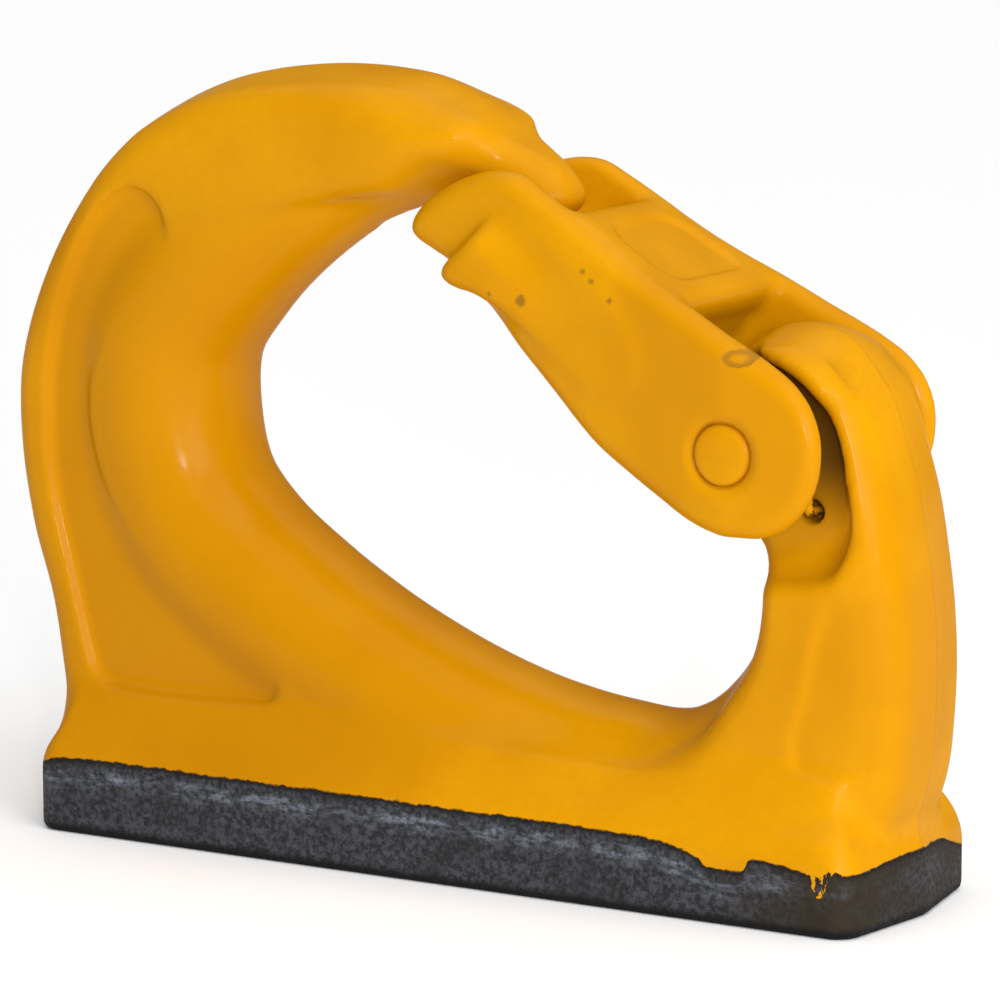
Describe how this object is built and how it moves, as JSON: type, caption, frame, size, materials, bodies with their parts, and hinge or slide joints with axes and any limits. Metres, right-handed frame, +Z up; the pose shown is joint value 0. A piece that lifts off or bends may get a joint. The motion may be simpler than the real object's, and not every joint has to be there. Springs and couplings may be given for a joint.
{
  "type": "weld-on lifting hook",
  "caption": "Forged lifting hook with a weld-on foot, closed by a forged, spring-loaded safety latch on a hinge pin.",
  "frame": {"origin": "centre of the weld foot's underside, on the forging's parting plane", "axes": "+Z up from the weld foot, +X along the foot from the bowl of the hook to the hinge post, Y across the forging with y = 0 on its parting plane"},
  "size_m": [0.1406, 0.0368, 0.1073],
  "materials": {
    "hook_paint": "glossy yellow-orange enamel on a steel forging, with a bare dark weld foot",
    "latch_paint": "glossy yellow-orange enamel on a steel forging",
    "pin_paint": "glossy yellow-orange enamel over the end of a steel pin",
    "spring_steel": "enamelled spring wire"
  },
  "bodies": {
    "hook": {"hook_body": "hook_paint", "latch_spring_front": "spring_steel", "latch_spring_rear": "spring_steel"},
    "latch": {"latch": "latch_paint", "hinge_pin": "pin_paint"}
  },
  "joints": [
    {"name": "latch_hinge", "type": "hinge", "parent": "hook", "child": "latch", "pos_m": [0.045, 0, 0.061], "axis": [0, -1, 0], "range_deg": [0, 60], "stiffness_Nm_per_rad": 0.12, "springref_deg": -68.75, "deforming": ["latch_spring_front", "latch_spring_rear"]}
  ]
}
